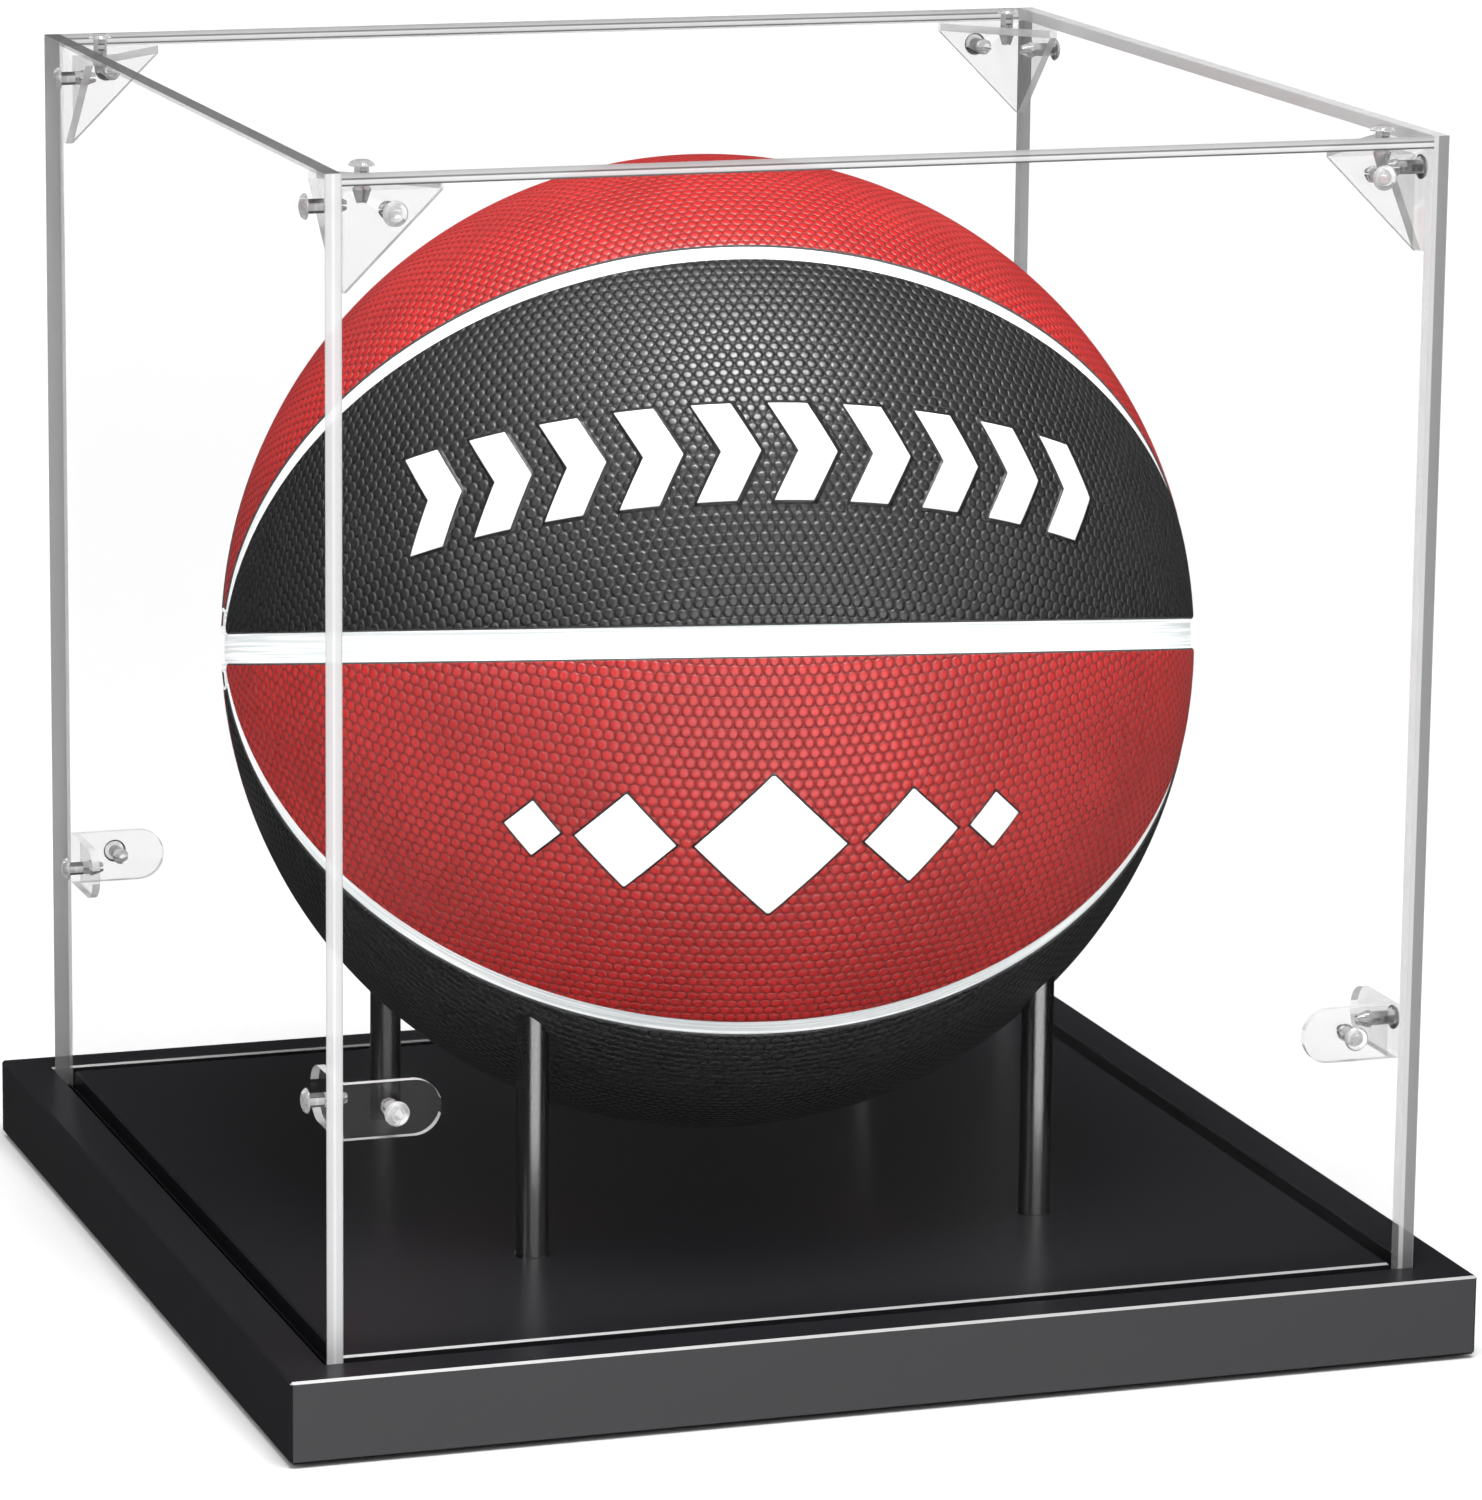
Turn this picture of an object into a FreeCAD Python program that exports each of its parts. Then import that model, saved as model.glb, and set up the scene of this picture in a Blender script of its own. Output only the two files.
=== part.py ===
"""Cube-shaped ball display case: a black plinth with four metal posts, a clear acrylic
cover that drops into a groove round the plinth, and a full-size basketball on the posts.

Frame: millimetres, +Z up, origin on the floor under the middle of the plinth. The front
faces -Y. The cover is five flat panels held by a three-legged connector in each top
corner and an L-shaped clip low on each upright edge, all fixed with clear push rivets
whose heads lie outside the panels.
"""

import FreeCAD
import Part
import math
import os

Vec = FreeCAD.Vector

# ---- driving dimensions ----
PLINTH_SIDE = 300.0
PLINTH_THICK = 20.0
PLINTH_CHAMFER = 0.6
PAD_PROUD = 1.0            # rubber pads lift the plinth off the floor
TOTAL_HEIGHT = 300.0

COVER_SIDE = 276.0         # outside of the acrylic box
WALL_THICK = 4.0           # the four upright panels
TOP_THICK = 3.0
GROOVE_DEPTH = 5.0
GROOVE_CLEARANCE = 0.4     # on each side of a panel
GROOVE_CHAMFER = 0.5

POST_DIA = 8.0
POST_SPACING = 132.0       # between post axes, both ways
POST_HEIGHT = 56.5         # above the plinth's top, on the post's own axis
POST_SOCKET_DEPTH = 12.0
POST_EDGE = 0.5            # chamfer on the post's lower rim
SOCKET_CLEARANCE = 0.2     # round the post
SOCKET_CHAMFER = 0.5

SCREW_DIA = 4.0
SCREW_HEAD_DIA = 8.0
SCREW_HEAD_THICK = 2.6
SCREW_HEAD_CHAMFER = 1.2
SCREW_GRIP = 6.0           # thread engaged in the post
SCREW_CLEARANCE = 0.2      # round the shank in the plinth
SCREW_HEAD_CLEARANCE = 0.5 # round the head in its counterbore
SCREW_HEAD_SUNK = 0.6      # head below the plinth's underside
CROSS_REACH = 2.4          # half the length of each recess in the screw's head
CROSS_WIDTH = 0.9
CROSS_DEPTH = 1.4
TAP_CLEARANCE = 0.05       # round the thread in the post
TAP_SPARE = 2.0            # tapped hole past the screw's end

PAD_DIA = 22.0
PAD_THICK = 2.5
PAD_INSET = 26.0           # pad centre to the plinth's edge
PAD_CHAMFER = 0.6
PAD_CLEARANCE = 0.3

LEG_LENGTH = 25.0          # connector leg, from the inside corner
LEG_THICK = 2.0
LEG_TIP = 2.0              # flat left at each pointed tip
LEG_RIVET_ALONG = 12.5     # rivet on an upright leg, from the inside corner
LEG_RIVET_DOWN = 6.6       # the same rivet, below the top panel
TOP_RIVET_IN = 8.0         # rivet on the top leg, from both walls

CLIP_LENGTH = 25.0
CLIP_HEIGHT = 13.5
CLIP_THICK = 2.0
CLIP_RIVET_ALONG = 13.0
CLIP_CENTRE = 59.0         # above the plinth's top

RIVET_DIA = 3.1
RIVET_HOLE_DIA = 3.4
RIVET_HEAD_DIA = 6.0
RIVET_HEAD_THICK = 1.4
RIVET_BARB_DIA = 4.2
RIVET_TIP_DIA = 2.4
RIVET_TIP_LENGTH = 3.4
RIVET_SLOT = 0.7
RIVET_SLOT_START = 1.5     # slot's floor, before the far side of what the rivet holds
RIVET_FIT = 0.1            # play between the barb and the leg it holds
RIVET_BARB_LAND = 0.6
RIVET_DOME = [(0.0, 1.0), (0.55, 0.9), (0.86, 0.6), (1.0, 0.18)]  # shares of the head's radius, height

BALL_DIA = 246.0
BALL_WALL = 3.2
BLADDER_WALL = 1.4
BALL_GAP = 0.3             # between the ball and the dished tops of the posts
VALVE_DIA = 7.0
VALVE_FLANGE_DIA = 16.0
VALVE_FLANGE_RIM = 1.4     # flange thickness at its rim
VALVE_FLANGE_RISE = 0.6    # more thickness at the stem
VALVE_CLEARANCE = 0.1
VALVE_SUNK = 0.6           # below the ball's surface
VALVE_BORE_DIA = 1.4
VALVE_BORE_DEPTH = 5.0
LAYER_GAP = 0.2            # between the ball's layers
PAST = 1.0                 # how far cutting tools run past the faces they open

# The side of the ball on show turns this far from -Y towards -X, and tips up this far.
SHOWN_SIDE_TURN = 11.0
SHOWN_SIDE_RISE = 11.6
VALVE_BELOW_SEAM = 12.0    # degrees below the middle seam, on the hidden side

# ---- derived dimensions ----
PLINTH_BOTTOM = PAD_PROUD
PLINTH_TOP = PLINTH_BOTTOM + PLINTH_THICK
GROOVE_FLOOR = PLINTH_TOP - GROOVE_DEPTH
TOP_PANEL_BOTTOM = TOTAL_HEIGHT - TOP_THICK
OUTER = COVER_SIDE / 2
INNER = OUTER - WALL_THICK
POST_TOP = PLINTH_TOP + POST_HEIGHT
POST_BOTTOM = PLINTH_TOP - POST_SOCKET_DEPTH
CLIP_MID_Z = PLINTH_TOP + CLIP_CENTRE
SCREW_SEAT = PLINTH_BOTTOM + SCREW_HEAD_SUNK + SCREW_HEAD_THICK
SCREW_END = POST_BOTTOM + SCREW_GRIP
BALL_R = BALL_DIA / 2

CORNERS = {
    "front_left": (-1, -1),
    "front_right": (1, -1),
    "back_left": (-1, 1),
    "back_right": (1, 1),
}


def box(x0, x1, y0, y1, z0, z1):
    """Solid block between two corners, given in any order."""
    low = Vec(min(x0, x1), min(y0, y1), min(z0, z1))
    return Part.makeBox(abs(x1 - x0), abs(y1 - y0), abs(z1 - z0), low)


def prism(points, along):
    """Solid made by pushing a flat outline along a vector."""
    outline = Part.makePolygon(points + points[:1])
    return Part.Face(outline).extrude(along)


def revolved(profile, base, direction):
    """Solid of revolution from (radius, height) points, standing on base along direction."""
    points = [Vec(r, 0, h) for r, h in profile]
    outline = Part.makePolygon(points + points[:1])
    solid = Part.Face(outline).revolve(Vec(0, 0, 0), Vec(0, 0, 1), 360)
    solid.Placement = FreeCAD.Placement(base, FreeCAD.Rotation(Vec(0, 0, 1), direction))
    return solid


def cut(solid, tools):
    """One clean solid left after cutting every tool."""
    return solid.cut(tools).removeSplitter() if tools else solid


# ---- plinth, posts, screws and pads ----


def post_places():
    half = POST_SPACING / 2
    return {name: Vec(sx * half, sy * half, 0) for name, (sx, sy) in CORNERS.items()}


def groove_ring():
    """The square groove, with its two rims chamfered."""
    wide = OUTER + GROOVE_CLEARANCE
    narrow = INNER - GROOVE_CLEARANCE
    ring = box(-wide, wide, -wide, wide, GROOVE_FLOOR, PLINTH_TOP + PAST)
    ring = ring.cut(box(-narrow, narrow, -narrow, narrow, GROOVE_FLOOR - PAST, PLINTH_TOP + 2 * PAST))
    return ring.fuse([rim_wedge(wide, outward=True), rim_wedge(narrow, outward=False)])


def rim_wedge(half, outward):
    """Material to take off a square rim at the plinth's top so that it is chamfered."""
    over = half + GROOVE_CHAMFER
    under = half - GROOVE_CHAMFER
    low = PLINTH_TOP - GROOVE_CHAMFER

    def square(side, z):
        corners = [Vec(sx * side, sy * side, z) for sx, sy in ((-1, -1), (1, -1), (1, 1), (-1, 1))]
        return Part.makePolygon(corners + corners[:1])

    if outward:
        frustum = Part.makeLoft([square(half, low), square(over, PLINTH_TOP)], True, True)
        return frustum.cut(box(-under, under, -under, under, low - PAST, PLINTH_TOP + PAST))
    frustum = Part.makeLoft([square(half, low), square(under, PLINTH_TOP)], True, True)
    return box(-half, half, -half, half, low, PLINTH_TOP).cut(frustum)


def plinth():
    half = PLINTH_SIDE / 2
    block = box(-half, half, -half, half, PLINTH_BOTTOM, PLINTH_TOP)
    block = block.makeChamfer(PLINTH_CHAMFER, block.Edges)
    tools = [groove_ring()]
    for place in post_places().values():
        tools += [post_socket(place), screw_way(place)]
    recess_top = PLINTH_BOTTOM + PAD_THICK - PAD_PROUD
    for place in pad_places().values():
        tools.append(Part.makeCylinder(PAD_DIA / 2 + PAD_CLEARANCE, recess_top, place))
    return cut(block, tools)


def post_socket(place):
    """Blind hole for one post, with a chamfered mouth."""
    r = POST_DIA / 2 + SOCKET_CLEARANCE
    mouth = SOCKET_CHAMFER + PAST
    profile = [(0, 0), (r, 0), (r, POST_SOCKET_DEPTH - SOCKET_CHAMFER),
               (r + mouth, POST_SOCKET_DEPTH + PAST), (0, POST_SOCKET_DEPTH + PAST)]
    return revolved(profile, place + Vec(0, 0, POST_BOTTOM), Vec(0, 0, 1))


def screw_way(place):
    """Clearance hole and counterbore for one screw, from the underside into the socket."""
    head_r = SCREW_HEAD_DIA / 2 + SCREW_HEAD_CLEARANCE
    shank_r = SCREW_DIA / 2 + SCREW_CLEARANCE
    profile = [(0, 0), (head_r, 0), (head_r, SCREW_SEAT), (shank_r, SCREW_SEAT),
               (shank_r, POST_BOTTOM + PAST), (0, POST_BOTTOM + PAST)]
    return revolved(profile, place, Vec(0, 0, 1))


def post(place):
    """Metal post: its top is dished to the ball's curve and its lower end is tapped."""
    r = POST_DIA / 2
    h = POST_TOP + POST_DIA - POST_BOTTOM
    profile = [(0, 0), (r - POST_EDGE, 0), (r, POST_EDGE), (r, h), (0, h)]
    rod = revolved(profile, place + Vec(0, 0, POST_BOTTOM), Vec(0, 0, 1))
    tap_r = SCREW_DIA / 2 + TAP_CLEARANCE
    tapped = Part.makeCylinder(tap_r, SCREW_GRIP + TAP_SPARE, place + Vec(0, 0, POST_BOTTOM))
    return cut(rod, [tapped, Part.makeSphere(BALL_R + BALL_GAP, ball_centre())])


def post_screw(place):
    """Pan-head screw up through the plinth, with a cross recess."""
    r, head_r = SCREW_DIA / 2, SCREW_HEAD_DIA / 2
    bottom = SCREW_SEAT - SCREW_HEAD_THICK
    profile = [(0, bottom), (head_r - SCREW_HEAD_CHAMFER, bottom), (head_r, bottom + SCREW_HEAD_CHAMFER),
               (head_r, SCREW_SEAT), (r, SCREW_SEAT), (r, SCREW_END), (0, SCREW_END)]
    screw = revolved(profile, place, Vec(0, 0, 1))
    x, y = place.x, place.y
    arm, half, top = CROSS_REACH, CROSS_WIDTH / 2, bottom + CROSS_DEPTH
    return cut(screw, [
        box(x - arm, x + arm, y - half, y + half, 0, top),
        box(x - half, x + half, y - arm, y + arm, 0, top),
    ])


def pad_places():
    reach = PLINTH_SIDE / 2 - PAD_INSET
    return {name: Vec(sx * reach, sy * reach, 0) for name, (sx, sy) in CORNERS.items()}


def foot_pad(place):
    r = PAD_DIA / 2
    profile = [(0, 0), (r - PAD_CHAMFER, 0), (r, PAD_CHAMFER), (r, PAD_THICK), (0, PAD_THICK)]
    return revolved(profile, place, Vec(0, 0, 1))


# ---- rivets ----


def rivet_grip(inward):
    """Thickness that a rivet holds: one panel and one leg of a connector or clip."""
    return (TOP_THICK if inward.z else WALL_THICK) + LEG_THICK


def rivet(head_seat, inward):
    """Push rivet: domed head on the panel's outside, shank, and a split barbed tip."""
    grip = rivet_grip(inward)
    barb = grip + RIVET_FIT
    head_r, shank_r, barb_r = RIVET_HEAD_DIA / 2, RIVET_DIA / 2, RIVET_BARB_DIA / 2
    profile = [(head_r * r, -RIVET_HEAD_THICK * h) for r, h in RIVET_DOME]
    profile += [(head_r, 0), (shank_r, 0), (shank_r, barb), (barb_r, barb), (barb_r, barb + RIVET_BARB_LAND),
                (RIVET_TIP_DIA / 2, barb + RIVET_TIP_LENGTH), (0, barb + RIVET_TIP_LENGTH)]
    solid = revolved(profile, head_seat, inward)
    side = Vec(1, 0, 0) if inward.z else Vec(0, 0, 1)
    across = inward.cross(side) * RIVET_BARB_DIA
    start = head_seat + inward * (grip - RIVET_SLOT_START) - side * (RIVET_SLOT / 2) - across
    slot = [start, start + side * RIVET_SLOT, start + side * RIVET_SLOT + across * 2, start + across * 2]
    return cut(solid, [prism(slot, inward * (RIVET_SLOT_START + RIVET_FIT + RIVET_TIP_LENGTH + PAST))])


def rivet_hole(head_seat, inward):
    """The hole that one rivet needs, through whatever it crosses."""
    start = head_seat - inward * PAST
    return Part.makeCylinder(RIVET_HOLE_DIA / 2, rivet_grip(inward) + 2 * PAST, start, inward)


def connector_rivet_places(sx, sy):
    """Head seat and inward direction of the three rivets in one top corner."""
    along = INNER - LEG_RIVET_ALONG
    z = TOP_PANEL_BOTTOM - LEG_RIVET_DOWN
    top = INNER - TOP_RIVET_IN
    return {
        "side": (Vec(sx * OUTER, sy * along, z), Vec(-sx, 0, 0)),
        "face": (Vec(sx * along, sy * OUTER, z), Vec(0, -sy, 0)),
        "top": (Vec(sx * top, sy * top, TOTAL_HEIGHT), Vec(0, 0, -1)),
    }


def clip_rivet_places(sx, sy):
    """Head seat and inward direction of the two rivets in one edge clip."""
    along = INNER - CLIP_RIVET_ALONG
    return {
        "side": (Vec(sx * OUTER, sy * along, CLIP_MID_Z), Vec(-sx, 0, 0)),
        "face": (Vec(sx * along, sy * OUTER, CLIP_MID_Z), Vec(0, -sy, 0)),
    }


def holes_on(kind, corners):
    """Rivet holes of one kind (side, face or top) in the panel that serves these corners."""
    found = []
    for sx, sy in corners:
        for places in (connector_rivet_places(sx, sy), clip_rivet_places(sx, sy)):
            if kind in places:
                found.append(rivet_hole(*places[kind]))
    return found


# ---- cover ----


def side_panel(sx):
    """Left or right panel, over the cover's whole depth and height."""
    slab = box(sx * INNER, sx * OUTER, -OUTER, OUTER, GROOVE_FLOOR, TOTAL_HEIGHT)
    return cut(slab, holes_on("side", [(sx, -1), (sx, 1)]))


def face_panel(sy):
    """Front or back panel, between the side panels."""
    slab = box(-INNER, INNER, sy * INNER, sy * OUTER, GROOVE_FLOOR, TOP_PANEL_BOTTOM)
    return cut(slab, holes_on("face", [(-1, sy), (1, sy)]))


def top_panel():
    """Between the side panels, and over the front and back ones."""
    slab = box(-INNER, INNER, -OUTER, OUTER, TOP_PANEL_BOTTOM, TOTAL_HEIGHT)
    return cut(slab, holes_on("top", CORNERS.values()))


def triangle_leg(corner, along_a, along_b, thick):
    """Right-angled leg with blunt tips, in the plane of the two directions."""
    points = [corner, corner + along_a * LEG_LENGTH, corner + along_a * LEG_LENGTH + along_b * LEG_TIP,
              corner + along_a * LEG_TIP + along_b * LEG_LENGTH, corner + along_b * LEG_LENGTH]
    return prism(points, thick * LEG_THICK)


def corner_connector(sx, sy):
    corner = Vec(sx * INNER, sy * INNER, TOP_PANEL_BOTTOM)
    to_x, to_y, down = Vec(-sx, 0, 0), Vec(0, -sy, 0), Vec(0, 0, -1)
    legs = [
        triangle_leg(corner, to_x, to_y, down),
        triangle_leg(corner, to_y, down, to_x),
        triangle_leg(corner, to_x, down, to_y),
    ]
    solid = legs[0].fuse(legs[1:]).removeSplitter()
    return cut(solid, [rivet_hole(*place) for place in connector_rivet_places(sx, sy).values()])


def clip_leg(corner, along, thick):
    """Round-ended strap lying along one wall."""
    up = Vec(0, 0, 1)
    r = CLIP_HEIGHT / 2
    far = corner + along * (CLIP_LENGTH - r)
    strap = prism([corner - up * r, far - up * r, far + up * r, corner + up * r], thick * CLIP_THICK)
    return strap.fuse(Part.makeCylinder(r, CLIP_THICK, far, thick))


def edge_clip(sx, sy):
    corner = Vec(sx * INNER, sy * INNER, CLIP_MID_Z)
    to_x, to_y = Vec(-sx, 0, 0), Vec(0, -sy, 0)
    solid = clip_leg(corner, to_x, to_y).fuse(clip_leg(corner, to_y, to_x)).removeSplitter()
    return cut(solid, [rivet_hole(*place) for place in clip_rivet_places(sx, sy).values()])


# ---- ball ----


def ball_centre():
    """The ball sits in the dished tops of the four posts."""
    reach = POST_SPACING / 2 * math.sqrt(2)
    rise = math.sqrt((BALL_R + BALL_GAP) ** 2 - reach ** 2)
    return Vec(0, 0, POST_TOP + rise)


def shown_direction(rise_degrees):
    """Direction from the ball's centre towards the side on show."""
    turn, rise = math.radians(SHOWN_SIDE_TURN), math.radians(rise_degrees)
    return Vec(-math.sin(turn) * math.cos(rise), -math.cos(turn) * math.cos(rise), math.sin(rise))


def valve_direction():
    return -shown_direction(SHOWN_SIDE_RISE + VALVE_BELOW_SEAM)


def shell(outer_r, wall):
    """Hollow ball with the valve's hole through it."""
    centre = ball_centre()
    hollow = Part.makeSphere(outer_r, centre).cut(Part.makeSphere(outer_r - wall, centre))
    hole_r = VALVE_DIA / 2 + VALVE_CLEARANCE
    return cut(hollow, [Part.makeCylinder(hole_r, BALL_DIA, centre, valve_direction())])


def ball_cover():
    return shell(BALL_R, BALL_WALL)


def ball_bladder():
    return shell(BALL_R - BALL_WALL - LAYER_GAP, BLADDER_WALL)


def ball_valve():
    """Rubber valve: a flange inside the bladder and a bored stem out to the surface."""
    flange_top = BALL_R - BALL_WALL - LAYER_GAP - BLADDER_WALL
    rim_top = flange_top - VALVE_FLANGE_RISE
    rim_bottom = rim_top - VALVE_FLANGE_RIM
    stem_top = BALL_R - VALVE_SUNK
    bore_floor = stem_top - VALVE_BORE_DEPTH
    stem_r, flange_r, bore_r = VALVE_DIA / 2, VALVE_FLANGE_DIA / 2, VALVE_BORE_DIA / 2
    profile = [(0, rim_bottom), (flange_r, rim_bottom), (flange_r, rim_top), (stem_r, flange_top),
               (stem_r, stem_top), (bore_r, stem_top), (bore_r, bore_floor), (0, bore_floor)]
    return revolved(profile, ball_centre(), valve_direction())


# ---- output ----


def write(name, *solids):
    """Writes one node. Several solids share a node as a group."""
    shape = solids[0] if len(solids) == 1 else Part.makeCompound(list(solids))
    for solid in shape.Solids:
        assert solid.isValid() and solid.Volume > 0, name
    assert len(shape.Solids) == len(solids), (name, len(shape.Solids))
    shape.exportStep(os.path.join("parts", name + ".step"))


def main():
    os.makedirs("parts", exist_ok=True)
    write("base_plinth", plinth())
    for name, place in post_places().items():
        write("post_" + name, post(place))
    write("post_screws", *[post_screw(place) for place in post_places().values()])
    for name, place in pad_places().items():
        write("foot_pad_" + name, foot_pad(place))

    write("front_panel", face_panel(-1))
    write("back_panel", face_panel(1))
    write("left_panel", side_panel(-1))
    write("right_panel", side_panel(1))
    write("top_panel", top_panel())
    for name, (sx, sy) in CORNERS.items():
        write("corner_connector_" + name, corner_connector(sx, sy))
        write("edge_clip_" + name, edge_clip(sx, sy))
        write("connector_rivets_" + name, *[rivet(*p) for p in connector_rivet_places(sx, sy).values()])
        write("clip_rivets_" + name, *[rivet(*p) for p in clip_rivet_places(sx, sy).values()])

    write("ball_cover", ball_cover())
    write("ball_bladder", ball_bladder())
    write("ball_valve", ball_valve())


main()
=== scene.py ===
"""Looks of the ball display case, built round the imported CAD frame. All sizes in metres."""

import math

import bmesh
import bpy
from mathutils import Matrix, Quaternion, Vector


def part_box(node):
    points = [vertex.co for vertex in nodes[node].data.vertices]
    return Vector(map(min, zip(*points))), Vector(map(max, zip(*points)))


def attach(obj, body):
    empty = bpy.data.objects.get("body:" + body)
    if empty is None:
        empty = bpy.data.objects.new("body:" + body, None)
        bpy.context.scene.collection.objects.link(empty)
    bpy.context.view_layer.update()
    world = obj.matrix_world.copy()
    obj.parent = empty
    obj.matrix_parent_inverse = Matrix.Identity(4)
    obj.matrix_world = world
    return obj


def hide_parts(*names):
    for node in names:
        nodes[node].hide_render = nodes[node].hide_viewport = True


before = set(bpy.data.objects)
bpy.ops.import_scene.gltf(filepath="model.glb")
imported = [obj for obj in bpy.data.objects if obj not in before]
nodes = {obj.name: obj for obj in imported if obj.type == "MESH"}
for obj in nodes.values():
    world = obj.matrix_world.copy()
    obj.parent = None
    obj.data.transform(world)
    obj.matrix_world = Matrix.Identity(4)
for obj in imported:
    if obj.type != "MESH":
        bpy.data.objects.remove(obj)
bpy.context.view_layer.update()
MM = 0.001

# ---- where things are, from the frame ----
ball_low, ball_high = (Vector(corner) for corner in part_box("ball_cover"))
BALL_CENTRE = (ball_low + ball_high) / 2
BALL_R = (ball_high.z - ball_low.z) / 2

# ---- the ball's pattern ----
# Eight panels meet at two poles. The side on show is turned towards -X and tipped up.
SHOWN_TURN = math.radians(11.0)
SHOWN_RISE = math.radians(11.6)
FRONT = Vector((-math.sin(SHOWN_TURN) * math.cos(SHOWN_RISE),
                -math.cos(SHOWN_TURN) * math.cos(SHOWN_RISE), math.sin(SHOWN_RISE)))
POLE = Vector((-math.cos(SHOWN_TURN), math.sin(SHOWN_TURN), 0))
UP = POLE.cross(FRONT)
WIDE = 7.2 * MM
NARROW = 4.8 * MM
CHANNELS = [(0, WIDE), (50, NARROW), (96, NARROW), (134, NARROW),
            (180, WIDE), (226, NARROW), (264, NARROW), (310, NARROW)]
HUB_R = 11 * MM            # white hub where the channels meet at each pole
HUB_SLOPE = 0.6 * MM
CHANNEL_DEPTH = 0.9 * MM
SHOULDER = 1.0 * MM        # rounded shoulder on each side of a channel
VALVE_ANGLE = math.radians(180 + 12)
VALVE_HOLE_R = 3.65 * MM
SKIN_WALL = 3.2 * MM
PEBBLE_PITCH = 2.9 * MM
PANEL_STEPS = 16
SKIN_ROWS = 150
WALL_SEGMENTS = 96
HOLE_SEGMENTS = 48


def pattern_direction(angle):
    """Direction from the ball's centre to the middle of the meridian at this angle."""
    return FRONT * math.cos(angle) + UP * math.sin(angle)


def meridian(i):
    """Angle of the channel with this number, counted on past a full turn."""
    turns, number = divmod(i, len(CHANNELS))
    return math.radians(CHANNELS[number][0] + 360 * turns)


def on_ball(angle, along, across, lift=0.0):
    """Point on the ball, given by arc lengths along and across the meridian at this angle."""
    middle = pattern_direction(angle)
    side = pattern_direction(angle + math.pi / 2)
    a, b = along / BALL_R, across / BALL_R
    direction = (middle * math.cos(a) - POLE * math.sin(a)) * math.cos(b) + side * math.sin(b)
    return BALL_CENTRE + direction * (BALL_R + lift)


def along_across(angle, point):
    """The arc lengths that on_ball takes, in millimetres."""
    d = (point - BALL_CENTRE).normalized()
    side = pattern_direction(angle + math.pi / 2)
    across = math.asin(max(-1, min(1, d.dot(side))))
    along = math.atan2(-d.dot(POLE), d.dot(pattern_direction(angle)))
    return along * BALL_R / MM, across * BALL_R / MM


# ---- node helpers ----
class Nodes:
    """A material or world under construction, with short calls for its nodes."""

    def __init__(self, name, kind="Material"):
        blocks = bpy.data.worlds if kind == "World" else bpy.data.materials
        self.block = blocks.new(name)
        self.block.use_nodes = True
        self.tree = self.block.node_tree
        self.tree.nodes.clear()
        self.out = self.tree.nodes.new("ShaderNodeOutput" + kind)

    def add(self, kind, settings=None, **inputs):
        node = self.tree.nodes.new(kind)
        for key, value in (settings or {}).items():
            setattr(node, key, value)
        for key, value in inputs.items():
            self.put(node.inputs[key.replace("_", " ")], value)
        return node

    def put(self, socket, value):
        if isinstance(value, bpy.types.NodeSocket):
            self.tree.links.new(value, socket)
        else:
            socket.default_value = value

    def math(self, operation, a, b=0.0, clamp=False):
        node = self.add("ShaderNodeMath", {"operation": operation, "use_clamp": clamp})
        self.put(node.inputs[0], a)
        self.put(node.inputs[1], b)
        return node.outputs[0]

    def ramp(self, value, low, high, to_low=0.0, to_high=1.0):
        """Smooth step of a value from one range to another."""
        node = self.add("ShaderNodeMapRange", {"interpolation_type": "SMOOTHSTEP"})
        for socket, number in zip(node.inputs, (value, low, high, to_low, to_high)):
            self.put(socket, number)
        return node.outputs[0]

    def mix(self, factor, a, b):
        node = self.add("ShaderNodeMix", {"data_type": "RGBA"})
        self.put(node.inputs[0], factor)
        self.put(node.inputs[6], a)
        self.put(node.inputs[7], b)
        return node.outputs[2]

    def bands(self, value, stops):
        """Grey that follows a value through (position, grey) stops."""
        node = self.add("ShaderNodeValToRGB", Fac=value)
        points = node.color_ramp.elements
        while len(points) < len(stops):
            points.new(1.0)
        for point, (position, level) in zip(points, stops):
            point.position = position
            point.color = cool_grey(level)
        return node.outputs["Color"]

    def noise(self, scale, detail=3.0):
        place = self.add("ShaderNodeTexCoord").outputs["Object"]
        return self.add("ShaderNodeTexNoise", Vector=place, Scale=scale, Detail=detail).outputs[0]

    def place(self, axis):
        """One of the object's own coordinates."""
        place = self.add("ShaderNodeTexCoord").outputs["Object"]
        return self.add("ShaderNodeSeparateXYZ", Vector=place).outputs[axis]

    def share(self, axis, low, high):
        """How far along an axis, from 0 at low to 1 at high, the same on both sides of the middle."""
        distance = self.math("SUBTRACT", self.math("ABSOLUTE", self.place(axis)), low)
        return self.math("DIVIDE", distance, high - low, clamp=True)

    def facing(self, axes):
        """1 where the surface looks straight along one of the axes, less where it leans."""
        normal = self.add("ShaderNodeNewGeometry").outputs["True Normal"]
        parts = self.add("ShaderNodeSeparateXYZ", Vector=normal).outputs
        most = 0.0
        for axis in axes:
            most = self.math("MAXIMUM", most, self.math("ABSOLUTE", parts[axis]))
        return most

    def bump(self, height, distance, strength=1.0):
        return self.add("ShaderNodeBump", Height=height, Distance=distance, Strength=strength).outputs[0]

    def surface(self, shader):
        self.tree.links.new(shader, self.out.inputs["Surface"])
        return self.block


def grey(value, blue=1.0):
    return (value, value, value * blue, 1)


def cool_grey(value):
    """The faintly blue grey of clear plastic."""
    return grey(value, 1.01)


# ---- materials of the base ----
CHAMFER_HIGHLIGHT_ABOVE = 10 * MM      # height above which the plinth's chamfers get a painted highlight


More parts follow.
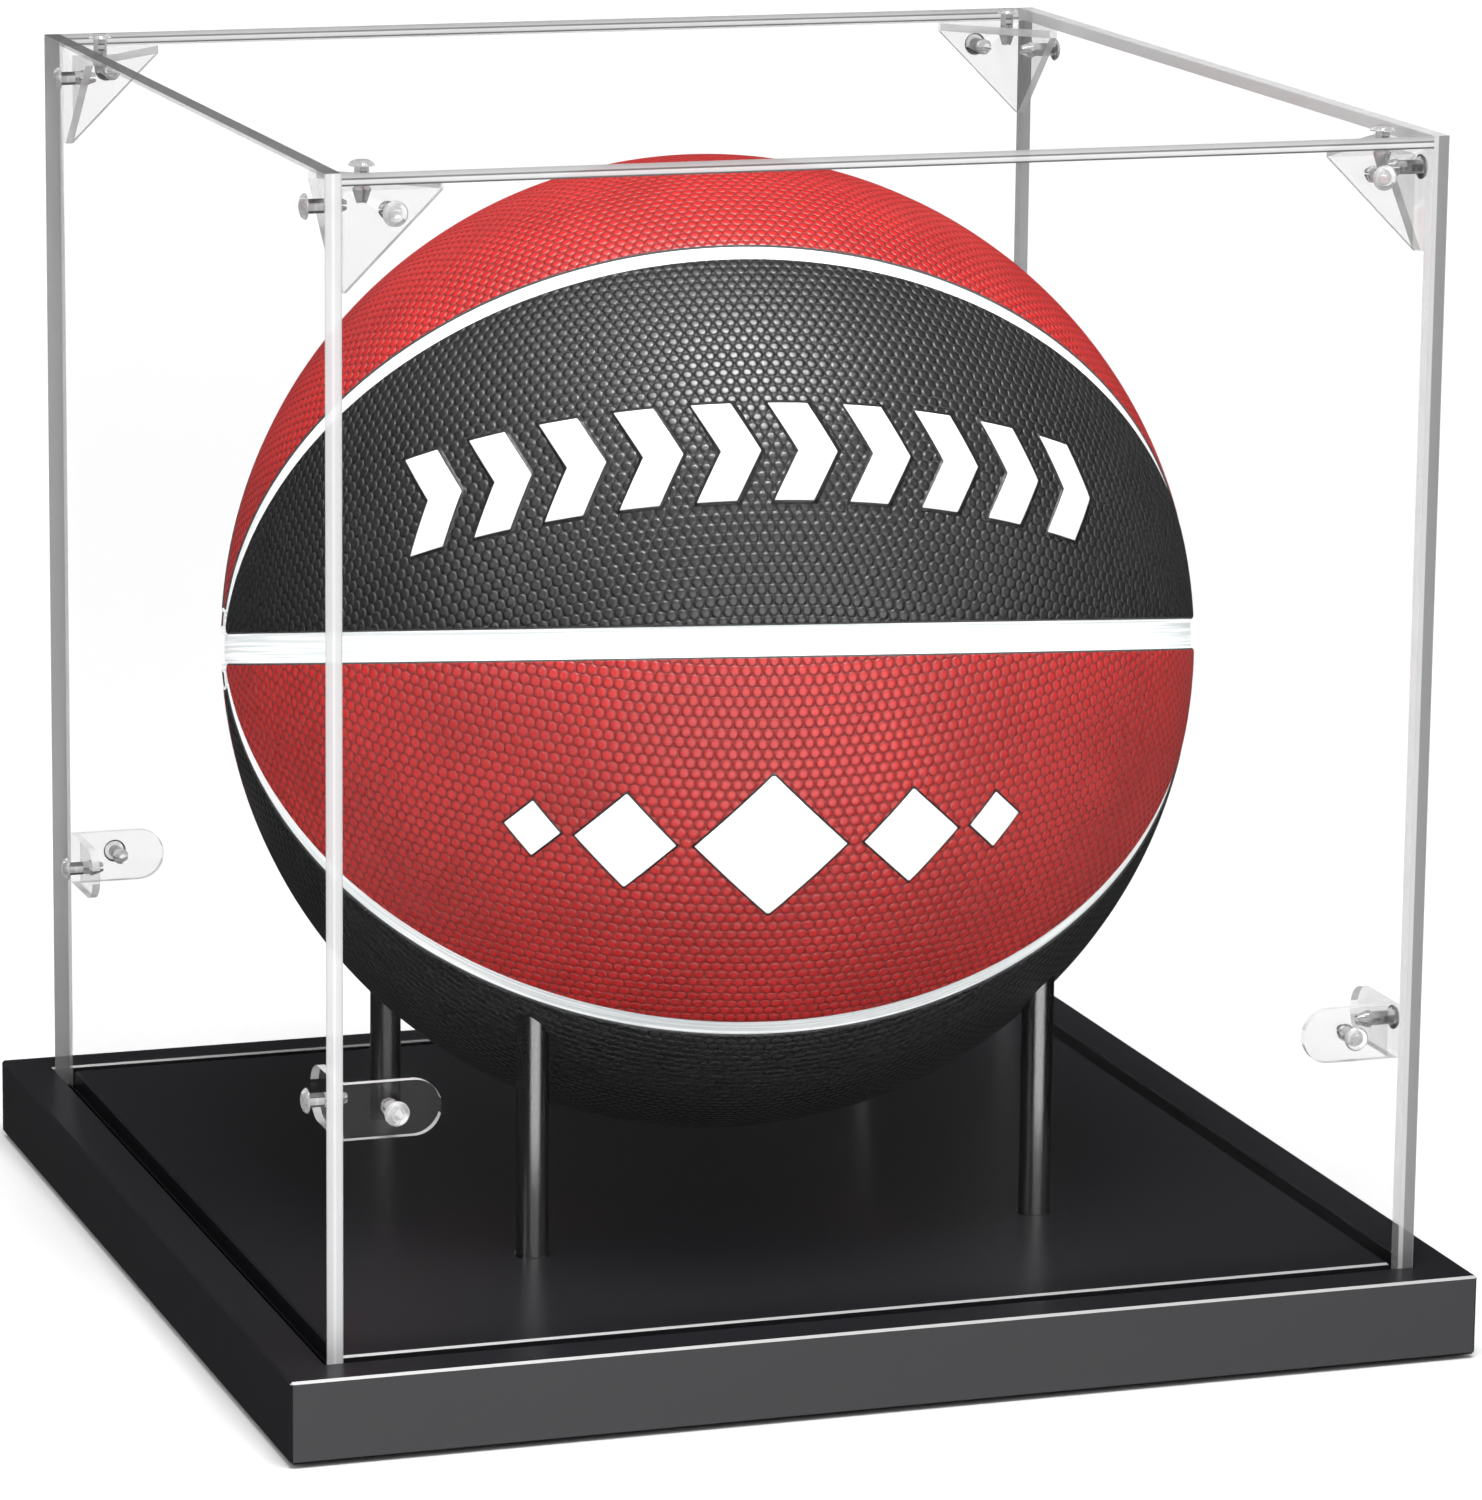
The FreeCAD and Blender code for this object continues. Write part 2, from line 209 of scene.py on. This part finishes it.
def black_lacquer():
    """Deep black board with a soft sheen, even but for the slow drift of a sprayed finish.

    The chamfers along its upper front and back edges are painted light grey, a painted highlight.
    """
    n = Nodes("black_lacquer")
    drift = n.noise(24, 3)
    leaning = n.math("MULTIPLY", n.facing("Y"), n.facing("Z"))
    upper = n.math("GREATER_THAN", n.place("Z"), CHAMFER_HIGHLIGHT_ABOVE)
    # Painted highlight: the upper front and back chamfers are painted light grey.
    chamfer_highlight = n.math("MULTIPLY", n.math("GREATER_THAN", leaning, 0.3), upper)
    black = n.mix(drift, grey(0.0092, 1.2), grey(0.0102, 1.2))
    shader = n.add("ShaderNodeBsdfPrincipled", Base_Color=n.mix(chamfer_highlight, black, grey(0.3)),
                   Roughness=n.ramp(drift, 0.1, 0.9, 0.29, 0.31))
    shader.inputs["IOR"].default_value = 1.4
    return n.surface(shader.outputs[0])


def dark_metal():
    """Polished dark plated metal, with faint drawing lines along the post."""
    n = Nodes("dark_metal")
    place = n.add("ShaderNodeTexCoord").outputs["Object"]
    stretched = n.add("ShaderNodeMapping", Vector=place, Scale=(2600, 2600, 40)).outputs[0]
    lines = n.add("ShaderNodeTexNoise", Vector=stretched, Scale=1.0, Detail=2.0).outputs[0]
    shader = n.add("ShaderNodeBsdfPrincipled", Base_Color=n.mix(lines, grey(0.13), grey(0.17)),
                   Roughness=n.ramp(lines, 0.2, 0.8, 0.2, 0.26),
                   Normal=n.bump(lines, 0.01 * MM, 0.2))
    shader.inputs["Metallic"].default_value = 1.0
    return n.surface(shader.outputs[0])


def zinc():
    """Bright plating on the screws, slightly clouded."""
    n = Nodes("zinc_plated")
    cloud = n.noise(500)
    shader = n.add("ShaderNodeBsdfPrincipled", Base_Color=n.mix(cloud, grey(0.38), grey(0.56)),
                   Roughness=n.ramp(cloud, 0.3, 0.7, 0.28, 0.42), Normal=n.bump(cloud, 0.02 * MM, 0.4))
    shader.inputs["Metallic"].default_value = 1.0
    return n.surface(shader.outputs[0])


def plain_rubber(name, low, high):
    """Moulded rubber with a fine matt grain."""
    n = Nodes(name)
    grain = n.noise(1800, 4)
    cloud = n.noise(60)
    shader = n.add("ShaderNodeBsdfPrincipled", Base_Color=n.mix(cloud, grey(low), grey(high)),
                   Roughness=n.ramp(cloud, 0.3, 0.7, 0.6, 0.78), Normal=n.bump(grain, 0.05 * MM, 0.6))
    return n.surface(shader.outputs[0])


# ---- clear materials ----
CUT_LEAN = 0.97            # a face that leans more than this is a cut edge
SHEET_GLOSS = 0.03


def clear(name, thin_axes, face_gloss, edge_cover, edge_colour, tint=0.99):
    """Clear sheet: faces let light through, and cut edges gather it.

    thin_axes are the axes that the sheet's faces look along; any other way is an edge.
    edge_colour adds the nodes for the edges' colour.
    """
    n = Nodes(name)
    edge = n.math("LESS_THAN", n.facing(thin_axes), CUT_LEAN)
    cloud = n.noise(160, 2)
    through = n.add("ShaderNodeBsdfTransparent", Color=grey(tint)).outputs[0]
    gloss = n.add("ShaderNodeBsdfGlossy", Color=grey(1.0), Roughness=0.03).outputs[0]
    fresnel = n.math("MULTIPLY", n.add("ShaderNodeFresnel", IOR=1.49).outputs[0], face_gloss)
    face = n.add("ShaderNodeMixShader", Fac=fresnel)
    n.put(face.inputs[1], through)
    n.put(face.inputs[2], gloss)
    cut = n.add("ShaderNodeBsdfPrincipled", Base_Color=edge_colour(n),
                Roughness=n.ramp(cloud, 0.2, 0.8, 0.15, 0.25), Normal=n.bump(cloud, 0.02 * MM, 0.3))
    cut.inputs["IOR"].default_value = 1.2
    cut_mix = n.add("ShaderNodeMixShader", Fac=edge_cover)
    n.put(cut_mix.inputs[1], through)
    n.put(cut_mix.inputs[2], cut.outputs[0])
    whole = n.add("ShaderNodeMixShader", Fac=edge)
    n.put(whole.inputs[1], face.outputs[0])
    n.put(whole.inputs[2], cut_mix.outputs[0])
    return n.surface(whole.outputs[0])


def cloudy_edges(low, high):
    """Edge colour that wanders between two greys."""
    return lambda n: n.mix(n.noise(160, 2), cool_grey(low), cool_grey(high))


def wall_edges(axis, low, high, stops, back_end_shade, rim):
    """Edge colour that follows stops across an upright sheet, with its own greys at the back end
    and on the top and bottom rims. The stops are painted reflection bands, and the back end grey is
    painted shade.
    """
    def colour(n):
        # Painted shade at the sheet's back end, and painted reflection bands across its cut edges.
        painted_back_shade = n.ramp(n.place("Y"), case_half.y - 2 * MM, case_half.y - 1 * MM)
        ends = n.mix(painted_back_shade, n.bands(n.share(axis, low, high), stops), cool_grey(back_end_shade))
        return n.mix(n.math("GREATER_THAN", n.facing("Z"), 0.5), ends, cool_grey(rim))
    return colour


def lid_edges(low, high, stops, side_end):
    """Edge colour of the top sheet: stops of painted reflection bands on its front and back edges, one
    grey on its sides.
    """
    def colour(n):
        sideways = n.math("GREATER_THAN", n.facing("X"), 0.5)
        return n.mix(sideways, n.bands(n.share("Z", low, high), stops), cool_grey(side_end))
    return colour


def clear_nylon():
    """Faintly milky moulded rivets, with the slight ripple of a moulded surface."""
    n = Nodes("clear_nylon")
    cloud = n.noise(500, 2)
    shader = n.add("ShaderNodeBsdfPrincipled", Base_Color=n.mix(cloud, cool_grey(0.8), grey(0.9)),
                   Roughness=n.ramp(cloud, 0.3, 0.7, 0.05, 0.1), Normal=n.bump(cloud, 0.05 * MM, 0.4))
    shader.inputs["IOR"].default_value = 1.45
    shader.inputs["Transmission Weight"].default_value = 0.8
    return n.surface(shader.outputs[0])


# ---- materials of the ball ----
def pebbles(n):
    """Height of the ball's domed pebbles, 0 to 1, from the millimetre coordinates in its UV map."""
    pitch = PEBBLE_PITCH / MM
    row_pitch = pitch * math.sqrt(3) / 2
    place = n.add("ShaderNodeUVMap", {"uv_map": "grain"}).outputs[0]
    xyz = n.add("ShaderNodeSeparateXYZ", Vector=place).outputs
    row = n.math("DIVIDE", xyz["Y"], row_pitch)
    shift = n.math("MULTIPLY", n.math("PINGPONG", n.math("FLOOR", row), 1.0), 0.5)
    column = n.math("ADD", n.math("DIVIDE", xyz["X"], pitch), shift)
    dx = n.math("SUBTRACT", n.math("FRACT", column), 0.5)
    dy = n.math("MULTIPLY", n.math("SUBTRACT", n.math("FRACT", row), 0.5), row_pitch / pitch)
    squared = n.math("ADD", n.math("MULTIPLY", dx, dx), n.math("MULTIPLY", dy, dy))
    share = n.math("MULTIPLY", squared, 4.0)
    return n.math("SUBTRACT", 1.0, n.math("MULTIPLY", share, share), clamp=True)


def pebbled_rubber(name, valley_shade, top):
    """Ball rubber, rougher between its pebbles and painted darker there as painted shade, with patches
    that are a little worn.
    """
    n = Nodes(name)
    height = pebbles(n)
    cloud = n.noise(30)
    worn = n.mix(n.ramp(cloud, 0.35, 0.65, 0.0, 0.35), top, valley_shade)
    # Painted shade: the colour darkens into the valleys between the pebbles.
    colour = n.mix(height, valley_shade, worn)
    shader = n.add("ShaderNodeBsdfPrincipled", Base_Color=colour,
                   Roughness=n.ramp(height, 0.0, 1.0, 0.6, 0.34), Normal=n.bump(height, 0.45 * MM, 1.0))
    shader.inputs["IOR"].default_value = 1.6
    return n.surface(shader.outputs[0])


def channel_paint():
    """White channel with faint lines along it."""
    n = Nodes("channel_white")
    place = n.add("ShaderNodeUVMap", {"uv_map": "grain"}).outputs[0]
    stretched = n.add("ShaderNodeMapping", Vector=place, Scale=(0.015, 1.6, 1.0)).outputs[0]
    lines = n.add("ShaderNodeTexNoise", Vector=stretched, Scale=1.0, Detail=2.0).outputs[0]
    shader = n.add("ShaderNodeBsdfPrincipled",
                   Base_Color=n.mix(n.ramp(lines, 0.42, 0.6), (0.62, 0.66, 0.67, 1), (0.9, 0.9, 0.9, 1)),
                   Roughness=n.ramp(lines, 0.3, 0.7, 0.45, 0.6), Normal=n.bump(lines, 0.15 * MM, 0.5))
    return n.surface(shader.outputs[0])


def print_ink(name, low, high):
    """Ink printed over the pebbles, which show through it faintly by their bumps and by painted shade that
    darkens the ink between them.
    """
    n = Nodes(name)
    height = pebbles(n)
    # Painted shade: the ink is darker between the pebbles.
    shader = n.add("ShaderNodeBsdfPrincipled", Base_Color=n.mix(height, grey(low), grey(high)),
                   Roughness=n.ramp(height, 0.0, 1.0, 0.5, 0.42), Normal=n.bump(height, 0.1 * MM, 0.5))
    return n.surface(shader.outputs[0])


# ---- the ball ----
def new_piece(name, mesh, body, materials):
    piece = bpy.data.objects.new(name, mesh)
    bpy.context.scene.collection.objects.link(piece)
    for material in materials:
        mesh.materials.append(material)
    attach(piece, body)
    return piece


def channel_profile(width):
    """(distance from the channel's middle, height) from one shoulder to the other."""
    half = width / 2
    side = [(half + SHOULDER, 0.0), (half + SHOULDER / 2, -0.1 * MM), (half + 0.05 * MM, -0.5 * MM),
            (half - 0.35 * MM, -CHANNEL_DEPTH), (half * 0.5, -CHANNEL_DEPTH)]
    left = [(-d, h) for d, h in side]
    right = [(d, h) for d, h in reversed(side)]
    return left + [(0.0, -CHANNEL_DEPTH)] + right


# Material slots of the ball's skin.
CHARCOAL, RED, WHITE, LINE = range(4)


def skin_columns():
    """Columns round the ball: (channel, distance from it, share of the panel, height, slot, centre).

    A column in a channel is a distance from the channel's middle; one in a panel is a share
    of the way from one channel's shoulder to the next. The slot and centre are those of the
    face that follows the column.
    """
    columns = []
    for i, (_, width) in enumerate(CHANNELS):
        before, after = (RED, CHARCOAL) if i % 2 == 0 else (CHARCOAL, RED)
        here = meridian(i)
        in_panel_before = (before, (meridian(i - 1) + here) / 2)
        in_panel_after = (after, (here + meridian(i + 1)) / 2)
        line, white = (LINE, here), (WHITE, here)
        faces = [in_panel_before, line] + [white] * 6 + [line] + [in_panel_after] * 2
        for (distance, height), (slot, centre) in zip(channel_profile(width), faces):
            columns.append((i, distance, 0.0, height, slot, centre))
        for step in range(1, PANEL_STEPS):
            columns.append((i, None, step / PANEL_STEPS, 0.0) + in_panel_after)
    return columns


def column_angle(column, ring_r):
    """Angle round the poles of a column, where the ball's ring has this radius."""
    i, distance, share = column[:3]
    if distance is not None:
        return meridian(i) + math.asin(distance / ring_r)
    next_width = CHANNELS[(i + 1) % len(CHANNELS)][1]
    start = meridian(i) + math.asin((CHANNELS[i][1] / 2 + SHOULDER) / ring_r)
    end = meridian(i + 1) - math.asin((next_width / 2 + SHOULDER) / ring_r)
    return start + (end - start) * share


def skin_mesh():
    """The ball's outer skin, with its channels as real grooves, and its inner wall."""
    columns = skin_columns()
    first = math.asin(HUB_R / BALL_R)
    bm = bmesh.new()
    grid = []
    for row in range(SKIN_ROWS + 1):
        polar = first + (math.pi - 2 * first) * row / SKIN_ROWS
        ring_r = BALL_R * math.sin(polar)
        verts = []
        for column in columns:
            angle = column_angle(column, ring_r)
            direction = POLE * math.cos(polar) + pattern_direction(angle) * math.sin(polar)
            verts.append(bm.verts.new(BALL_CENTRE + direction * (BALL_R + column[3])))
        grid.append(verts)
    grain = bm.loops.layers.uv.new("grain")

    def face(corners, slot, centre):
        made = bm.faces.new(corners)
        made.material_index = slot
        made.smooth = True
        for loop in made.loops:
            loop[grain].uv = along_across(centre, loop.vert.co)

    count = len(columns)
    for row in range(SKIN_ROWS):
        for k in range(count):
            after = (k + 1) % count
            corners = (grid[row][k], grid[row + 1][k], grid[row + 1][after], grid[row][after])
            face(corners, columns[k][4], columns[k][5])
    for verts, sign in ((grid[0], 1), (grid[-1], -1)):
        inner = []
        for column in columns:
            angle = column_angle(column, HUB_R)
            polar = math.asin((HUB_R - HUB_SLOPE) / BALL_R)
            direction = POLE * (sign * math.cos(polar)) + pattern_direction(angle) * math.sin(polar)
            inner.append(bm.verts.new(BALL_CENTRE + direction * (BALL_R - CHANNEL_DEPTH)))
        tip = bm.verts.new(BALL_CENTRE + POLE * (sign * (BALL_R - CHANNEL_DEPTH)))
        for k in range(count):
            after = (k + 1) % count
            face((verts[k], verts[after], inner[after], inner[k]), WHITE, 0.0)
            face((inner[k], inner[after], tip), WHITE, 0.0)
    bmesh.ops.recalc_face_normals(bm, faces=bm.faces)
    outside = set(bm.faces)
    bmesh.ops.create_uvsphere(bm, u_segments=WALL_SEGMENTS, v_segments=WALL_SEGMENTS // 2,
                              radius=BALL_R - SKIN_WALL, matrix=Matrix.Translation(BALL_CENTRE))
    bmesh.ops.reverse_faces(bm, faces=[face for face in bm.faces if face not in outside])
    mesh = bpy.data.meshes.new("game_ball")
    bm.to_mesh(mesh)
    bm.free()
    return mesh


def cut_valve_hole(ball):
    """Cuts the round hole for the valve through the ball's skin."""
    outward = pattern_direction(VALVE_ANGLE)
    bm = bmesh.new()
    turn = outward.to_track_quat("Z", "Y").to_matrix().to_4x4()
    place = Matrix.Translation(BALL_CENTRE + outward * (BALL_R - SKIN_WALL / 2)) @ turn
    bmesh.ops.create_cone(bm, cap_ends=True, segments=HOLE_SEGMENTS, radius1=VALVE_HOLE_R,
                          radius2=VALVE_HOLE_R, depth=SKIN_WALL * 3, matrix=place)
    mesh = bpy.data.meshes.new("valve_cutter")
    bm.to_mesh(mesh)
    bm.free()
    cutter = bpy.data.objects.new("valve_cutter", mesh)
    bpy.context.scene.collection.objects.link(cutter)
    hole = ball.modifiers.new("valve_hole", "BOOLEAN")
    hole.operation = "DIFFERENCE"
    hole.solver = "EXACT"
    hole.object = cutter
    shown = ball.evaluated_get(bpy.context.evaluated_depsgraph_get())
    holed = bpy.data.meshes.new_from_object(shown)
    ball.modifiers.clear()
    ball.data = holed
    bpy.data.objects.remove(cutter)


def game_ball(materials):
    ball = new_piece("game_ball", skin_mesh(), "ball", materials)
    cut_valve_hole(ball)
    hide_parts("ball_cover")


# ---- the prints on the ball ----
PRINT_CELL = 2.0 * MM
PRINT_THICK = 0.08 * MM
OUTLINE_LIFT = 0.1 * MM
PRINT_LIFT = 0.2 * MM
HALF_STEPS = 8             # rows from a print's middle to its tip


def patch(bm, grain, angle, rows, lift):
    """Thin printed shape on the ball. Each row is (across, start, end), in arc lengths."""
    columns = max(2, round(max(end - start for _, start, end in rows) / PRINT_CELL))
    grid = []
    for across, start, end in rows:
        line = [start + (end - start) * k / columns for k in range(columns + 1)]
        grid.append([bm.verts.new(on_ball(angle, along, across, lift)) for along in line])
    for lower, upper in zip(grid, grid[1:]):
        for k in range(columns):
            made = bm.faces.new((lower[k], lower[k + 1], upper[k + 1], upper[k]))
            made.smooth = True
            for loop in made.loops:
                loop[grain].uv = along_across(angle, loop.vert.co)


def print_mesh(name, draw):
    """Solid print of the given shape."""
    bm = bmesh.new()
    grain = bm.loops.layers.uv.new("grain")
    draw(bm, grain)
    bmesh.ops.recalc_face_normals(bm, faces=bm.faces)
    bmesh.ops.solidify(bm, geom=bm.faces[:], thickness=PRINT_THICK)
    mesh = bpy.data.meshes.new(name)
    bm.to_mesh(mesh)
    bm.free()
    return mesh


# A row of plain chevrons across the charcoal panel.
CHEVRON_ANGLE = math.radians(21.5)
CHEVRON_COUNT = 10
CHEVRON_PITCH = 18.5 * MM
CHEVRON_HALF_HEIGHT = 12.5 * MM
CHEVRON_STROKE = 9.5 * MM
CHEVRON_POINT = 6.5 * MM
CHEVRON_SLANT = 1.15       # how much further a slanted side moves sideways when it grows


def draw_chevrons(grow, lift):
    """Shape of the chevrons, each grown by the same rim on every side."""
    def draw(bm, grain):
        half = CHEVRON_HALF_HEIGHT + grow
        reach = CHEVRON_STROKE / 2 + grow * CHEVRON_SLANT
        for i in range(CHEVRON_COUNT):
            middle = (i - (CHEVRON_COUNT - 1) / 2) * CHEVRON_PITCH - CHEVRON_POINT / 2
            rows = []
            for step in range(-HALF_STEPS, HALF_STEPS + 1):
                share = step / HALF_STEPS
                point = middle + CHEVRON_POINT * (1 - abs(share))
                rows.append((share * half, point - reach, point + reach))
            patch(bm, grain, CHEVRON_ANGLE, rows, lift)
    return draw


# A row of plain diamonds on the red panel: (place along the row, half size).
DIAMOND_ANGLE = math.radians(-23.5)
DIAMONDS = [(-58 * MM, 7 * MM), (-35 * MM, 12 * MM), (0.0, 18 * MM), (35 * MM, 12 * MM), (58 * MM, 7 * MM)]
DIAMOND_SLANT = 1.4
DIAMOND_TIP = 0.02         # share of the half size that is left at each tip


def draw_diamonds(grow, lift):
    """Shape of the diamonds, each grown by the same rim on every side."""
    def draw(bm, grain):
        for middle, size in DIAMONDS:
            reach = size + grow * DIAMOND_SLANT
            rows = []
            for step in range(-HALF_STEPS, HALF_STEPS + 1):
                share = step / HALF_STEPS
                half = reach * (1 + DIAMOND_TIP - abs(share))
                rows.append((reach * share, middle - half, middle + half))
            patch(bm, grain, DIAMOND_ANGLE, rows, lift)
    return draw


# ---- stage, lights, camera ----
CAMERA_PLACE = Vector((-0.5524, -1.6505, 0.5147))
CAMERA_AIM = Vector((0.0070, -0.0067, 0.1308))
CAMERA_ROLL = math.radians(0.64)
CAMERA_LENS = 168.3
FLOOR_REACH = 14.0
FLOOR_NEAR = 0.56          # how pale the floor looks near the case
FLOOR_FAR = 0.92           # and far from it
FLOOR_BOUNCE = 0.9         # how pale it is to light that the camera doesn't see directly
WORLD_SOFT = 0.85          # what plain surfaces and the camera see
WORLD_GLOW = 3.5           # what glossy surfaces see low in front
SUN_STRENGTH = 1.2
SUN_SPREAD = math.radians(50)
SUN_WAY = Vector((0.2, -0.1, -1))


def make_camera():
    data = bpy.data.cameras.new("camera")
    data.lens = CAMERA_LENS
    camera = bpy.data.objects.new("camera", data)
    camera.location = CAMERA_PLACE
    look = (CAMERA_AIM - CAMERA_PLACE).to_track_quat("-Z", "Y")
    camera.rotation_euler = (look @ Quaternion((0, 0, 1), CAMERA_ROLL)).to_euler()
    bpy.context.scene.collection.objects.link(camera)
    bpy.context.scene.camera = camera


def make_floor():
    """Pale floor, a little darker near the case so that its shadow shows."""
    mesh = bpy.data.meshes.new("floor")
    corners = [(-FLOOR_REACH, -FLOOR_REACH, 0), (FLOOR_REACH, -FLOOR_REACH, 0),
               (FLOOR_REACH, FLOOR_REACH, 0), (-FLOOR_REACH, FLOOR_REACH, 0)]
    mesh.from_pydata(corners, [], [(0, 1, 2, 3)])
    floor = bpy.data.objects.new("floor", mesh)
    bpy.context.scene.collection.objects.link(floor)
    n = Nodes("pale_floor")
    x, y = n.place("X"), n.place("Y")
    distance = n.math("SQRT", n.math("ADD", n.math("MULTIPLY", x, x), n.math("MULTIPLY", y, y)))
    near_to_far = n.mix(n.ramp(distance, 0.2, 2.6), grey(FLOOR_NEAR), grey(FLOOR_FAR))
    seen = n.add("ShaderNodeLightPath").outputs["Is Camera Ray"]
    shader = n.add("ShaderNodeBsdfPrincipled", Roughness=0.8,
                   Base_Color=n.mix(seen, grey(FLOOR_BOUNCE), near_to_far))
    mesh.materials.append(n.surface(shader.outputs[0]))
    floor.visible_glossy = False


def make_world():
    """White to the camera and to plain surfaces. Glossy ones see a dim room with a bright low front.

    The room is dimmest towards +X, and its front is the part within about 40 degrees of -Y.
    """
    n = Nodes("studio", "World")
    way = n.add("ShaderNodeTexCoord").outputs["Generated"]
    parts = n.add("ShaderNodeSeparateXYZ", Vector=way).outputs
    dim = n.ramp(parts["X"], 0.15, 0.4, 0.05, 0.006)
    room = n.add("ShaderNodeBackground", Strength=n.ramp(parts["Y"], -0.74, -0.9, dim, WORLD_GLOW))
    soft = n.add("ShaderNodeBackground", Color=grey(1.0), Strength=WORLD_SOFT)
    both = n.add("ShaderNodeMixShader", Fac=n.add("ShaderNodeLightPath").outputs["Is Glossy Ray"])
    n.put(both.inputs[1], soft.outputs[0])
    n.put(both.inputs[2], room.outputs[0])
    bpy.context.scene.world = n.surface(both.outputs[0])


def area_light(name, place, aim, size, power):
    data = bpy.data.lights.new(name, "AREA")
    data.shape = "RECTANGLE"
    data.size, data.size_y = size
    data.energy = power
    lamp = bpy.data.objects.new(name, data)
    lamp.location = place
    lamp.rotation_euler = (Vector(aim) - Vector(place)).to_track_quat("-Z", "Y").to_euler()
    bpy.context.scene.collection.objects.link(lamp)


def make_lights():
    middle = (0, 0, 0.16)
    area_light("top_box", (0.02, -0.45, 1.55), middle, (0.66, 0.6), 30)
    area_light("right_box", (1.6, -0.9, 0.9), middle, (0.5, 1.4), 3)
    area_light("left_box", (-1.7, -0.7, 0.8), middle, (0.4, 1.2), 5)
    sun = bpy.data.lights.new("sky", "SUN")
    sun.energy = SUN_STRENGTH
    sun.angle = SUN_SPREAD
    lamp = bpy.data.objects.new("sky", sun)
    lamp.rotation_euler = SUN_WAY.to_track_quat("-Z", "Y").to_euler()
    bpy.context.scene.collection.objects.link(lamp)


# ---- dressing of the carried-over nodes ----
# Greys across a sheet's cut edge, from its inner or lower side to its outer or upper side. The bands are
# painted reflections, and they differ between the left and right panels.
LEFT_EDGE = [(0.0, 0.3), (0.1, 0.46), (0.38, 0.48), (0.5, 0.6), (0.62, 0.46), (0.92, 0.44), (1.0, 0.3)]
RIGHT_EDGE = [(0.0, 0.34), (0.08, 0.37), (0.28, 0.37), (0.34, 0.13), (0.94, 0.12), (1.0, 0.25)]
TOP_EDGE = [(0.0, 0.05), (0.1, 0.05), (0.18, 0.42), (0.44, 0.5),
            (0.5, 0.1), (0.58, 0.1), (0.66, 0.34), (0.9, 0.28)]
TOP_SIDE_END = 0.4
# Painted shade on the back ends of the side panels' edges. The rim greys are painted darker on the left
# panel than on the right.
BACK_END_SHADE = 0.2
LEFT_RIM = 0.085
RIGHT_RIM = 0.38
panel_low, case_half = (Vector(corner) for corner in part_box("right_panel"))


def wall_sheet(name, stops, rim):
    """Material of the left or right panel, which are the same but for the greys of their edges, where the
    painted reflections and shade differ.
    """
    edges = wall_edges("X", panel_low.x, case_half.x, stops, BACK_END_SHADE, rim)
    return clear(name, "X", SHEET_GLOSS, 0.9, edges)


def top_sheet():
    low, high = (corner[2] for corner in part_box("top_panel"))
    return clear("acrylic_top", "Z", SHEET_GLOSS, 0.9, lid_edges(low, high, TOP_EDGE, TOP_SIDE_END))


def first_match(name, looks):
    """The material of the first entry whose words are in the name, or None."""
    for words, material in looks:
        if words in name:
            return material
    return None


def dress_frame():
    face_sheet = clear("acrylic_face", "Y", SHEET_GLOSS, 0.8, cloudy_edges(0.32, 0.38))
    looks = [
        ("rivets", clear_nylon()),
        ("base_plinth", black_lacquer()),
        ("post_screws", zinc()),
        ("post_", dark_metal()),
        ("foot_pad", plain_rubber("pad_rubber", 0.02, 0.035)),
        ("ball_bladder", plain_rubber("bladder_rubber", 0.015, 0.03)),
        ("ball_valve", plain_rubber("valve_rubber", 0.012, 0.02)),
        ("left_panel", wall_sheet("acrylic_left", LEFT_EDGE, LEFT_RIM)),
        ("right_panel", wall_sheet("acrylic_right", RIGHT_EDGE, RIGHT_RIM)),
        ("front_panel", face_sheet),
        ("back_panel", face_sheet),
        ("top_panel", top_sheet()),
        ("corner_connector", clear("acrylic_connector", "XYZ", 0.2, 0.75, cloudy_edges(0.3, 0.44), 0.91)),
        ("edge_clip", clear("acrylic_clip", "XY", 0.15, 0.8, cloudy_edges(0.4, 0.55), 0.935)),
    ]
    for name, node in nodes.items():
        for slot in node.material_slots:
            slot.material = first_match(name, looks) or slot.material


def make_ball():
    # The first colour of each rubber is the painted shade in the valleys between its pebbles.
    charcoal = pebbled_rubber("rubber_charcoal", grey(0.006, 1.06), grey(0.014, 1.06))
    red = pebbled_rubber("rubber_red", (0.22, 0.003, 0.003, 1), (0.46, 0.0105, 0.0095, 1))
    white = channel_paint()
    line = plain_rubber("channel_line", 0.03, 0.05)
    game_ball([charcoal, red, white, line])
    ink_white = print_ink("ink_white", 0.86, 0.93)
    ink_black = print_ink("ink_black", 0.006, 0.012)
    prints = [
        ("chevron_outline", draw_chevrons(0.8 * MM, OUTLINE_LIFT), ink_black),
        ("chevrons", draw_chevrons(0.0, PRINT_LIFT), ink_white),
        ("diamond_outline", draw_diamonds(0.5 * MM, OUTLINE_LIFT), ink_black),
        ("diamonds", draw_diamonds(0.0, PRINT_LIFT), ink_white),
    ]
    for name, draw, ink in prints:
        new_piece(name, print_mesh(name, draw), "ball", [ink])


# ---- the scene ----
make_camera()
make_floor()
make_world()
make_lights()
bpy.context.scene.view_settings.view_transform = "Standard"
dress_frame()
make_ball()
